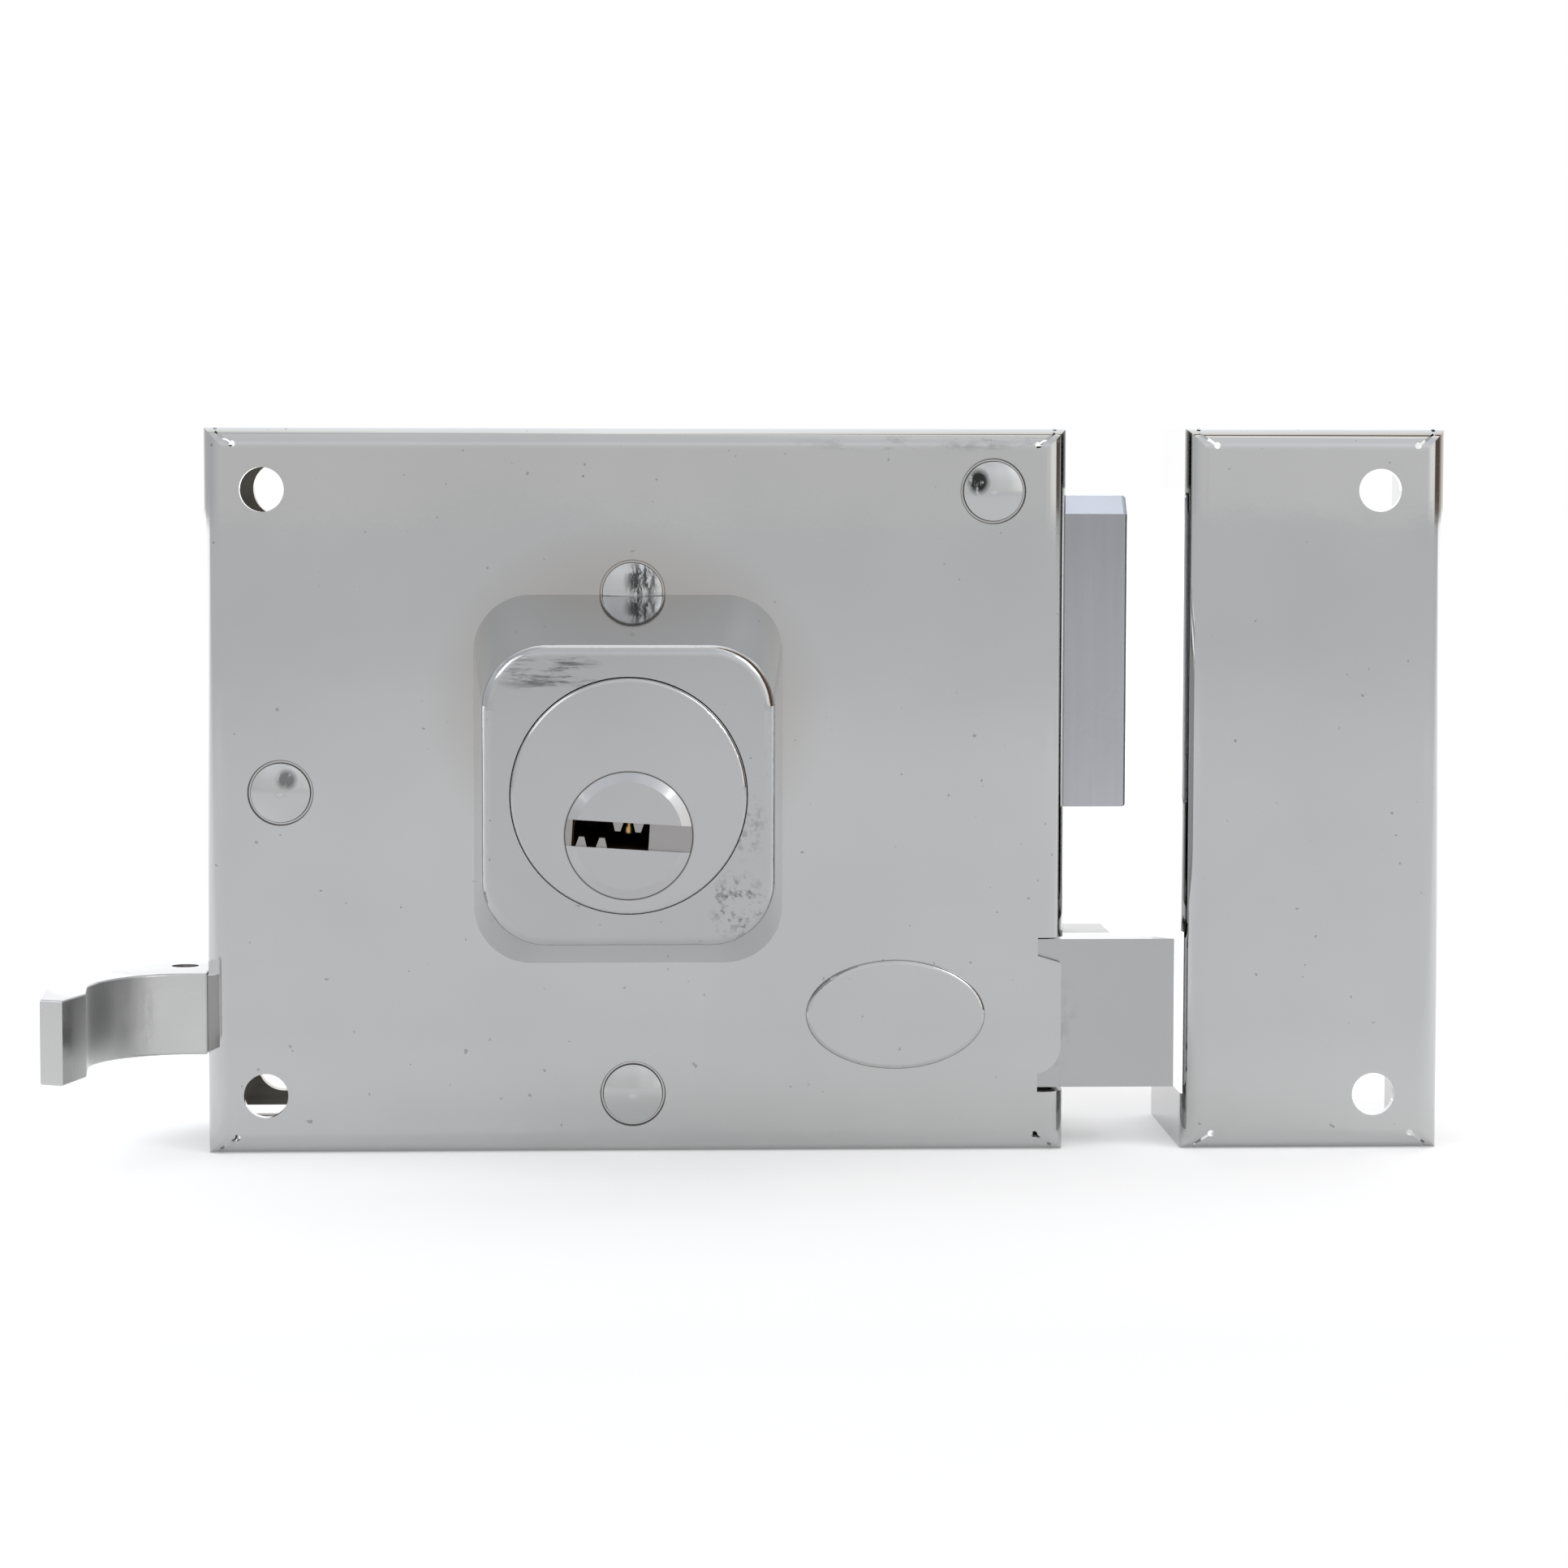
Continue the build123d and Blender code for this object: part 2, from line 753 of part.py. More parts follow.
with BuildPart() as cylinder_body:
    with BuildSketch(depth_plane(cylinder_face)):
        with Locations((0, housing_z)):
            Circle(housing_radius)
    extrude(amount=cylinder_face - cylinder_rear)
    fillet(cylinder_body.faces().sort_by(Axis.Y)[0].edges(), housing_edge)
    with BuildSketch(depth_plane(cylinder_face)):
        Circle(plug_face_radius + running_gap)
    extrude(amount=-plug_face_depth - pin_gap, mode=Mode.SUBTRACT)
    with BuildSketch(depth_plane(cylinder_face)):
        Circle(plug_radius + running_gap)
    extrude(amount=cylinder_face - cylinder_rear, mode=Mode.SUBTRACT)
    with BuildSketch(Plane.XY):
        with Locations(*[(0, face_y + depth) for depth in pin_places]):
            Circle(pin_radius + pin_gap)
    extrude(amount=housing_z + housing_radius, mode=Mode.SUBTRACT)
    with BuildSketch(depth_plane(cylinder_rear)):
        with Locations(*cylinder_screw_places):
            Circle(cylinder_screw_radius + thread_gap)
    extrude(amount=cylinder_screw_length - sheet + thread_gap, mode=Mode.SUBTRACT)
save(cylinder_body.part, "cylinder_body")

with BuildPart() as cylinder_screws:
    for x, z in cylinder_screw_places:
        add(
            cap_screw(
                x,
                z,
                cylinder_screw_radius,
                cylinder_screw_head_radius,
                cylinder_screw_head,
                cylinder_screw_length,
            )
        )
save(cylinder_screws.part, "cylinder_screws")

with BuildPart() as driver_pins:
    with BuildSketch(Plane.XY.offset(driver_bottom)):
        with Locations(*[(0, face_y + depth) for depth in pin_places]):
            Circle(pin_radius)
    extrude(amount=driver_length)
save(driver_pins.part, "driver_pins")

with BuildPart() as chamber_plugs:
    with BuildSketch(Plane.XY.offset(chamber_plug_bottom)):
        with Locations(*[(0, face_y + depth) for depth in pin_places]):
            Circle(pin_radius)
    extrude(amount=chamber_plug_length)
save(chamber_plugs.part, "chamber_plugs")

with BuildPart() as pin_springs:
    with BuildSketch(Plane.XY.offset(driver_bottom + driver_length)):
        with Locations(*[(0, face_y + depth) for depth in pin_places]):
            Circle(pin_radius - spring_play)
            Circle(pin_radius - spring_play - spring_wall, mode=Mode.SUBTRACT)
    extrude(amount=chamber_plug_bottom - driver_bottom - driver_length)
save(pin_springs.part, "pin_springs")


def ward(place, edge, point):
    """Corners of one ward in the keyway, from its left foot to its right foot."""
    return [
        (place - ward_width / 2, edge),
        (place - ward_tip / 2, point),
        (place + ward_tip / 2, point),
        (place + ward_width / 2, edge),
    ]


half_key = keyway_height / 2
keyway_outline = [(-keyway_left, half_key)]
for place in upper_ward_places:
    keyway_outline += ward(place, half_key, half_key - ward_height)
keyway_outline += [(keyway_right, half_key), (keyway_right, -half_key)]
for place in reversed(lower_ward_places):
    keyway_outline += reversed(ward(place, -half_key, ward_height - half_key))
keyway_outline += [(-keyway_left, -half_key)]
clip_front = cylinder_rear + running_gap
tail_square_end = gear_rear
clip_gap = running_gap
plug_axis = Axis((0, 0, 0), (0, 1, 0))

with BuildPart() as cylinder_plug:
    groove = plug_radius - clip_groove_depth
    stub_groove = plug_stub_radius - small_clip_lip / 2
    add(
        lathe(
            0,
            0,
            [
                (0, plug_face),
                (plug_face_radius - plug_rim, plug_face),
                (plug_face_radius, plug_face + plug_proud),
                (plug_face_radius, cylinder_face + plug_face_depth),
                (plug_radius, cylinder_face + plug_face_depth),
                (plug_radius, clip_front),
                (groove, clip_front),
                (groove, clip_front + clip_thickness),
                (plug_radius, clip_front + clip_thickness),
                (plug_radius, sheet),
                (plug_collar_radius, sheet),
                (plug_collar_radius, gear_front - running_gap),
                (0, gear_front - running_gap),
            ],
        )
    )
    with BuildSketch(depth_plane(gear_front - running_gap)):
        Rectangle(plug_tail_square, plug_tail_square)
    extrude(amount=gear_front - running_gap - tail_square_end)
    small_groove_end = tail_square_end + small_clip_thickness + clip_gap
    add(
        turned(
            0,
            0,
            [
                (tail_square_end, small_groove_end, stub_groove),
                (small_groove_end, tail_square_end + plug_stub_length, plug_stub_radius),
            ],
        )
    )
    # Slot across the face, with the key's way at its left and the pins' holes above it
    with BuildSketch(depth_plane(plug_face)):
        Rectangle(2 * plug_face_radius, keyway_height)
    extrude(amount=-slot_depth, mode=Mode.SUBTRACT)
    with BuildSketch(depth_plane(plug_face)):
        with BuildLine():
            Polyline(*keyway_outline, close=True)
        make_face()
    extrude(amount=plug_face + keyway_end_wall - cylinder_rear, mode=Mode.SUBTRACT)
    with BuildSketch(Plane.XY):
        with Locations(*[(0, face_y + depth) for depth in pin_places]):
            Circle(pin_radius + pin_gap)
    extrude(amount=plug_radius, mode=Mode.SUBTRACT)
save(cylinder_plug.part.rotate(plug_axis, keyway_tilt), "cylinder_plug")

with BuildPart() as key_pins:
    pin_top = sqrt(plug_radius**2 - pin_radius**2) - running_gap
    with BuildSketch(Plane.XY.offset(half_key)):
        with Locations(*[(0, face_y + depth) for depth in pin_places]):
            Circle(pin_radius)
    extrude(amount=pin_top - half_key)
    with BuildSketch(Plane.XY.offset(half_key - pin_tip_reach)):
        with Locations(*[(0, face_y + depth) for depth in pin_places]):
            Circle(pin_tip_radius)
    extrude(amount=pin_tip_reach)
    fillet(key_pins.edges().group_by(Axis.Z)[0], pin_tip_round)
save(key_pins.part.rotate(plug_axis, keyway_tilt), "key_pins")

with BuildPart() as plug_clip:
    clip_rear = clip_front + clip_thickness - clip_gap
    add(split_ring(0, 0, clip_front, clip_rear, groove, plug_radius + clip_lip))
save(plug_clip.part, "plug_clip")

with BuildPart() as plug_pinion:
    add(gear(plug_teeth, train_angle, 0, 0, gear_front, gear_rear))
    with BuildSketch(depth_plane(gear_front)):
        square = plug_tail_square + 2 * square_gap
        Rectangle(square, square, rotation=-keyway_tilt)
    extrude(amount=-gear_width, mode=Mode.SUBTRACT)
save(plug_pinion.part, "plug_pinion")

with BuildPart() as pinion_clip:
    add(
        split_ring(
            0,
            0,
            tail_square_end,
            tail_square_end + small_clip_thickness,
            stub_groove,
            plug_stub_radius + small_clip_lip,
        )
    )
save(pinion_clip.part, "pinion_clip")

# Reduction gear: wheel and rack pinion on one arbor

wheel_first_tooth = train_angle + 180 + 360 / wheel_teeth / 2
with BuildPart() as reduction_wheel:
    add(gear(wheel_teeth, wheel_first_tooth, wheel_x, wheel_z, gear_front, gear_rear))
    with BuildSketch(depth_plane(gear_front)):
        with Locations((wheel_x, wheel_z)):
            Circle(arbor_radius + running_gap)
            with PolarLocations((pitch_radius_wheel + pitch_radius_rack) / 2, lightening_count):
                Circle(lightening_radius)
    extrude(amount=-gear_width, mode=Mode.SUBTRACT)
save(reduction_wheel.part, "reduction_wheel")

with BuildPart() as rack_pinion:
    add(gear(rack_pinion_teeth, 90, wheel_x, wheel_z, gear_rear, rack_rear))
    with BuildSketch(depth_plane(gear_rear)):
        with Locations((wheel_x, wheel_z)):
            Circle(arbor_radius + running_gap)
    extrude(amount=gear_rear - rack_rear, mode=Mode.SUBTRACT)
save(rack_pinion.part, "rack_pinion")

arbor_groove = gear_front - running_gap - small_clip_thickness - clip_gap
with BuildPart() as gear_arbor:
    add(
        turned(
            wheel_x,
            wheel_z,
            [
                (gear_front - arbor_nose, arbor_groove, arbor_radius),
                (arbor_groove, gear_front - running_gap, arbor_radius - small_clip_lip / 2),
                (gear_front - running_gap, rack_rear + running_gap, arbor_radius),
                (rack_rear + running_gap, plate_front, arbor_shoulder_radius),
                (plate_front, case_depth, post_tenon_radius),
            ],
        )
    )
save(gear_arbor.part, "gear_arbor")

with BuildPart() as arbor_clip:
    add(
        split_ring(
            wheel_x,
            wheel_z,
            arbor_groove + clip_gap / 2,
            arbor_groove + clip_gap / 2 + small_clip_thickness,
            arbor_radius - small_clip_lip / 2,
            arbor_radius + small_clip_lip,
        )
    )
save(arbor_clip.part, "arbor_clip")

# Deadbolt, its toothed tail and what guides them

tail_rivet_places = [
    (bolt_start + tail_lap / 2, tail_bottom + tail_height * share) for share in tail_rivet_shares
]
with BuildPart() as deadbolt:
    with BuildSketch(Plane.YZ.offset(bolt_start)) as bolt_section:
        with Locations((face_y + (bolt_front + bolt_rear) / 2, (bolt_top + bolt_bottom) / 2)):
            Rectangle(bolt_thickness, bolt_height)
        front_top = bolt_section.vertices().group_by(Axis.X)[0].sort_by(Axis.Y)[-1]
        chamfer(front_top, bolt_chamfer)
    extrude(amount=bolt_end - bolt_start)
    fillet(deadbolt.faces().sort_by(Axis.X)[-1].edges(), bolt_corner)
    with BuildSketch(depth_plane(bolt_front)):
        with Locations(((bolt_start + tail_end) / 2, (tail_bottom + tail_top) / 2)):
            Rectangle(tail_lap, tail_height)
    extrude(amount=-rack_width, mode=Mode.SUBTRACT)
    with BuildSketch(depth_plane(bolt_front)):
        with Locations(*tail_rivet_places):
            Circle(tail_rivet_radius)
    extrude(amount=-tail_rivet_length, mode=Mode.SUBTRACT)
save(deadbolt.part, "deadbolt")

flank = tan(radians(pressure_angle))
tooth_pitch = pi * gear_module
half_tooth = (tooth_pitch / 2 - backlash) / 2
tooth_count = int((tail_reach - 2 * tooth_pitch) / tooth_pitch / 2)
tooth_centres = [wheel_x + (index + 1 / 2) * tooth_pitch for index in range(-tooth_count, tooth_count)]
rack_outline = [(tail_start, tail_top), (tail_start, rack_root)]
for centre in tooth_centres:
    foot = half_tooth + dedendum * flank
    point = half_tooth - addendum * flank
    rack_outline += [
        (centre - foot, rack_root),
        (centre - point, tail_bottom),
        (centre + point, tail_bottom),
        (centre + foot, rack_root),
    ]
rack_outline += [
    (bolt_start, rack_root),
    (bolt_start, tail_bottom),
    (tail_end, tail_bottom),
    (tail_end, tail_top),
]

with BuildPart() as deadbolt_tail:
    with BuildSketch(depth_plane(rack_front)):
        with BuildLine():
            Polyline(*rack_outline, close=True)
        make_face()
        with Locations((wheel_x, bolt_post_z)):
            SlotCenterToCenter(
                2 * (travel_per_turn + face_gap),
                2 * (guide_post_radius + running_gap),
                mode=Mode.SUBTRACT,
            )
        with Locations(*tail_rivet_places):
            Circle(tail_rivet_radius, mode=Mode.SUBTRACT)
    extrude(amount=-rack_width)
save(deadbolt_tail.part, "deadbolt_tail")

with BuildPart() as tail_rivets:
    with BuildSketch(depth_plane(bolt_front)):
        with Locations(*tail_rivet_places):
            Circle(tail_rivet_radius)
    extrude(amount=-tail_rivet_length)
save(tail_rivets.part, "tail_rivets")

with BuildPart() as deadbolt_guide_post:
    add(
        turned(
            wheel_x,
            bolt_post_z,
            [
                (rack_front, rack_rear + face_gap, guide_post_radius),
                (rack_rear + face_gap, plate_front, guide_shoulder_radius),
                (plate_front, case_depth, post_tenon_radius),
            ],
        )
    )
save(deadbolt_guide_post.part, "deadbolt_guide_post")

with BuildPart() as deadbolt_guide_pad:
    with BuildSketch(depth_plane(bolt_rear + face_gap)):
        with Locations((case_right - sheet - overrun - guide_pad_width / 2, (bolt_top + bolt_bottom) / 2)):
            Rectangle(guide_pad_width, guide_pad_height)
    extrude(amount=bolt_rear + face_gap - plate_front)
save(deadbolt_guide_pad.part, "deadbolt_guide_pad")

# Latch: bolt, carrier with its bar, rivets, spring and guide

latch_rivet_places = [
    (carrier_start + carrier_inside * share, (latch_top + latch_bottom) / 2) for share in latch_rivet_shares
]
with BuildPart() as latch_bolt:
    with BuildSketch(Plane.XY.offset(latch_bottom)):
        with BuildLine():
            Polyline(
                *[
                    (x, face_y + depth)
                    for x, depth in (
                        (latch_end - nose_length, nose_front),
                        (latch_end, nose_front),
                        (latch_end, nose_front + nose_flat),
                        (carrier_end, nose_rear),
                        (latch_end - nose_length, nose_rear),
                    )
                ],
                close=True,
            )
        make_face()
    extrude(amount=latch_height)
    with BuildSketch(depth_plane(nose_front)):
        with Locations(*latch_rivet_places):
            Circle(latch_rivet_radius)
    extrude(amount=-nose_thickness, mode=Mode.SUBTRACT)
save(latch_bolt.part, "latch_bolt")

pin_x = case_left - pull_pin_from_case
tongue_end = pin_x - pull_tongue_past_pin
with BuildPart() as latch_carrier:
    with BuildSketch(depth_plane(nose_rear)):
        with Locations(((carrier_start + carrier_end) / 2, (latch_top + latch_bottom) / 2)):
            Rectangle(carrier_end - carrier_start, latch_height)
    extrude(amount=-carrier_thickness)
    with BuildSketch(depth_plane(bar_front)):
        with Locations(((carrier_start + tongue_end) / 2, bar_z)):
            Rectangle(carrier_start - tongue_end, bar_height)
    extrude(amount=-bar_thickness)
    with BuildSketch(depth_plane(bar_front)):
        with Locations((latch_post_x + latch_travel / 2, bar_z)):
            SlotCenterToCenter(latch_travel + 2 * face_gap, 2 * (guide_post_radius + running_gap))
    extrude(amount=-bar_thickness, mode=Mode.SUBTRACT)
    with BuildSketch(depth_plane(nose_rear)):
        with Locations(*latch_rivet_places):
            Circle(latch_rivet_radius)
    extrude(amount=-carrier_thickness, mode=Mode.SUBTRACT)
    with BuildSketch(Plane.YZ.offset(carrier_start)):
        with Locations((face_y + bar_middle, spring_z)):
            Circle(spring_rod_radius)
    extrude(amount=spring_rod_seat, mode=Mode.SUBTRACT)
    with BuildSketch(Plane.XY.offset(bar_z - bar_height / 2)):
        with Locations((pin_x, face_y + bar_middle)):
            Circle(pull_pin_radius + pull_pin_gap)
    extrude(amount=bar_height, mode=Mode.SUBTRACT)
save(latch_carrier.part, "latch_carrier")

with BuildPart() as latch_rivets:
    with BuildSketch(depth_plane(nose_front)):
        with Locations(*latch_rivet_places):
            Circle(latch_rivet_radius)
    extrude(amount=nose_front - carrier_rear)
save(latch_rivets.part, "latch_rivets")

rod_end = bracket_x - bracket_sheet - spring_rod_tip
with BuildPart() as latch_spring_rod:
    with BuildSketch(Plane.YZ.offset(rod_end)):
        with Locations((face_y + bar_middle, spring_z)):
            Circle(spring_rod_radius)
    extrude(amount=carrier_start + spring_rod_seat - rod_end)
save(latch_spring_rod.part, "latch_spring_rod")

with BuildPart() as latch_spring:
    with BuildSketch(Plane.YZ.offset(bracket_x)):
        with Locations((face_y + bar_middle, spring_z)):
            Circle(spring_radius)
            Circle(spring_radius - spring_wire, mode=Mode.SUBTRACT)
    extrude(amount=spring_length - running_gap)
save(latch_spring.part, "latch_spring")

with BuildPart() as spring_bracket:
    bracket_front = bar_middle - bracket_margin
    with BuildSketch(Plane.XY.offset(spring_z - bracket_width / 2 + bracket_rise)):
        with BuildLine():
            Polyline(
                *[
                    (x, face_y + depth)
                    for x, depth in (
                        (bracket_x, bracket_front),
                        (bracket_x, plate_front),
                        (bracket_x - bracket_foot, plate_front),
                        (bracket_x - bracket_foot, plate_front - bracket_sheet),
                        (bracket_x - bracket_sheet, plate_front - bracket_sheet),
                        (bracket_x - bracket_sheet, bracket_front),
                    )
                ],
                close=True,
            )
        make_face()
    extrude(amount=bracket_width)
    with BuildSketch(Plane.YZ.offset(bracket_x - bracket_sheet)):
        with Locations((face_y + bar_middle, spring_z)):
            Circle(spring_rod_radius + running_gap)
    extrude(amount=bracket_sheet, mode=Mode.SUBTRACT)
save(spring_bracket.part, "spring_bracket")

with BuildPart() as latch_guide_post:
    add(
        turned(
            latch_post_x,
            bar_z,
            [
                (bar_front, bar_front + bar_thickness + face_gap, guide_post_radius),
                (bar_front + bar_thickness + face_gap, plate_front, guide_shoulder_radius),
                (plate_front, case_depth, post_tenon_radius),
            ],
        )
    )
save(latch_guide_post.part, "latch_guide_post")

# Finger pull and the pin that holds it on the bar's tongue

hollow_x = case_left - pull_hollow_offset
pull_root = case_left - pull_from_case
lip_turn = radians(pull_lip_lean)
hollow_end_x = hollow_x - pull_hollow_radius * cos(lip_turn)
hollow_end_depth = pull_front - pull_hollow_radius * (1 + sin(lip_turn))
lip_x = hollow_end_x + (hollow_end_depth + pull_lip_out) * tan(lip_turn)
tip_x = lip_x - pull_lip_slope
outer_x = hollow_x - pull_hollow_radius - pull_wall


def plan(x, depth):
    """A point seen from above, with its depth behind the case's face."""
    return (x, face_y + depth)


with BuildPart() as finger_pull:
    with BuildSketch(Plane.XY.offset(bar_z - pull_height / 2)):
        with BuildLine():
            Line(plan(pull_root, pull_front), plan(hollow_x, pull_front))
            RadiusArc(
                plan(hollow_x, pull_front),
                plan(hollow_end_x, hollow_end_depth),
                -pull_hollow_radius,
            )
            Polyline(
                plan(hollow_end_x, hollow_end_depth),
                plan(lip_x, -pull_lip_out),
                plan(tip_x, -pull_tip_out),
                plan(tip_x - pull_tip_width, pull_tip_slope - pull_tip_out),
                plan(outer_x, -pull_outer_bend),
            )
            TangentArc(
                plan(outer_x, -pull_outer_bend),
                plan(hollow_x, pull_rear),
                tangent=(0, 1),
            )
            Polyline(plan(hollow_x, pull_rear), plan(pull_root, pull_rear), plan(pull_root, pull_front))
        make_face()
    extrude(amount=pull_height)
    level_faces = finger_pull.faces().sort_by(Axis.Z)
    fillet(level_faces[0].edges() + level_faces[-1].edges(), pull_edge)
    with BuildSketch(depth_plane(pull_front + pull_neck_step)):
        with Locations((pull_root + pull_neck / 2, bar_z)):
            Rectangle(pull_neck, pull_height - 2 * pull_neck_step)
    extrude(amount=2 * pull_neck_step - pull_thickness)
    with BuildSketch(depth_plane(bar_front - pull_socket_gap)):
        with Locations(((tongue_end + pull_root + pull_neck) / 2, bar_z)):
            Rectangle(
                pull_root + pull_neck - tongue_end + 2 * pull_socket_gap,
                bar_height + 2 * pull_socket_gap,
            )
    extrude(amount=-bar_thickness - 2 * pull_socket_gap, mode=Mode.SUBTRACT)
    with BuildSketch(Plane.XY.offset(bar_z - pull_height)):
        with Locations((pin_x, face_y + bar_middle)):
            Circle(pull_pin_radius + pull_pin_gap)
    extrude(amount=2 * pull_height, mode=Mode.SUBTRACT)
save(finger_pull.part, "finger_pull")

with BuildPart() as pull_pin:
    with BuildSketch(Plane.XY.offset(bar_z - pull_height / 2 + pull_pin_sunk)):
        with Locations((pin_x, face_y + bar_middle)):
            Circle(pull_pin_radius)
    extrude(amount=pull_height - 2 * pull_pin_sunk)
save(pull_pin.part, "pull_pin")

# Strike

with BuildPart() as strike_box:
    add(folded_box(strike_left, strike_right, case_top, case_bottom))
    with BuildSketch(depth_plane(0)):
        with Locations((strike_hole_x, strike_hole_z)):
            with GridLocations(0, strike_hole_spacing, 1, 2):
                Circle(strike_hole_radius)
    extrude(amount=-sheet, mode=Mode.SUBTRACT)
    for front, top, bottom in (
        (bolt_front, bolt_top, bolt_bottom),
        (nose_front, latch_top, latch_bottom),
    ):
        window_front = front - face_gap
        with BuildSketch(Plane.YZ.offset(strike_left - overrun)):
            with Locations((face_y + (window_front + case_depth) / 2 + overrun, (top + bottom) / 2)):
                Rectangle(case_depth - window_front + 2 * overrun, top - bottom + 2 * strike_window_gap)
        extrude(amount=bend_radius + overrun, mode=Mode.SUBTRACT)
    add(corner_slits(strike_left, strike_right, case_top, case_bottom), mode=Mode.SUBTRACT)
save(strike_box.part, "strike_box")
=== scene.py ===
import math
from collections import namedtuple

import bpy
from mathutils import Matrix, Vector


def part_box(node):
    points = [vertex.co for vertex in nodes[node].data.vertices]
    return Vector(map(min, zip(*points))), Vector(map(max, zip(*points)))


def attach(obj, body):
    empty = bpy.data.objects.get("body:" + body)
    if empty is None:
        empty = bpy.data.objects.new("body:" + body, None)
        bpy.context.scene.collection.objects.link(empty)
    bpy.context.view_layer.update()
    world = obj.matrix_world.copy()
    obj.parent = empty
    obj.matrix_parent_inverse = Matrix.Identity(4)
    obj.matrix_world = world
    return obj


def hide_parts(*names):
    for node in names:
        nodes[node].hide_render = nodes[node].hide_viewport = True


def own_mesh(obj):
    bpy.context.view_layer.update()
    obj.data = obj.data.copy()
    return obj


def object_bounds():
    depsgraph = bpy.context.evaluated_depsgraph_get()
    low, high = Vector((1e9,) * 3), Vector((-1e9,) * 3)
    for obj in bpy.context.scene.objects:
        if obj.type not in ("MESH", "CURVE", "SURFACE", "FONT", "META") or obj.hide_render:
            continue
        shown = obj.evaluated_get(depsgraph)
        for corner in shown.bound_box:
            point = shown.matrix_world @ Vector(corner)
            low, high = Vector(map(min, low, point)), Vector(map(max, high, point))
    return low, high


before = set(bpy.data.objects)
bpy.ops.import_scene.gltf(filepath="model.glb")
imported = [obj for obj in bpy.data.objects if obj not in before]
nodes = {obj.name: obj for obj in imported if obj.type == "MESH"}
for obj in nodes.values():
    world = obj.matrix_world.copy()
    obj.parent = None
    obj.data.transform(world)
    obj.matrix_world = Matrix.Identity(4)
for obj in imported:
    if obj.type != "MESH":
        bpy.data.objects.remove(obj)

# All lengths are in metres. X runs right towards the strike, Y into the door, Z up.

cad_low, cad_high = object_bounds()

FACE_Y = -0.033    # front of the case and the strike
BOSS_Y = -0.063    # front of the escutcheon


def add_object(name, data):
    obj = bpy.data.objects.new(name, data)
    bpy.context.scene.collection.objects.link(obj)
    return obj


# Node helpers

class Nodes:
    """A node tree, emptied, with helpers that add nodes to it."""

    def __init__(self, tree):
        self.tree = tree
        self.tree.nodes.clear()

    def node(self, kind, **values):
        made = self.tree.nodes.new(kind)
        for key, value in values.items():
            setattr(made, key, value)
        return made

    def link(self, a, b):
        self.tree.links.new(a, b)

    def feed(self, socket, value):
        if isinstance(value, bpy.types.NodeSocket):
            self.link(value, socket)
        else:
            socket.default_value = value

    def math(self, kind, a, b=0.0, clamp=False):
        made = self.node("ShaderNodeMath", operation=kind, use_clamp=clamp)
        self.feed(made.inputs[0], a)
        self.feed(made.inputs[1], b)
        return made.outputs[0]

    def vector(self, kind, a, b):
        made = self.node("ShaderNodeVectorMath", operation=kind)
        self.link(a, made.inputs[0])
        made.inputs[1].default_value = b
        return made.outputs[0]

    def length(self, vector):
        made = self.node("ShaderNodeVectorMath", operation="LENGTH")
        self.link(vector, made.inputs[0])
        return made.outputs["Value"]

    def split(self, vector):
        """The X, Y and Z outputs of a vector."""
        made = self.node("ShaderNodeSeparateXYZ")
        self.link(vector, made.inputs[0])
        return made.outputs

    def mix(self, fac, a, b, kind="MIX"):
        made = self.node("ShaderNodeMix", data_type="RGBA", blend_type=kind)
        self.feed(made.inputs[0], fac)
        for socket, value in ((made.inputs[6], a), (made.inputs[7], b)):
            self.feed(socket, (*value, 1) if isinstance(value, tuple) else value)
        return made.outputs[2]

    def ramp(self, fac, stops):
        """Maps a value through (position, colour or grey) stops."""
        made = self.node("ShaderNodeValToRGB")
        self.link(fac, made.inputs[0])
        band = made.color_ramp
        while len(band.elements) < len(stops):
            band.elements.new(0.5)
        for element, (place, value) in zip(band.elements, stops):
            element.position = place
            element.color = (*value, 1) if isinstance(value, tuple) else (value, value, value, 1)
        return made.outputs[0]

    def camera_ray(self):
        """1 for what the camera sees directly, 0 for reflections and light."""
        return self.node("ShaderNodeLightPath").outputs["Is Camera Ray"]


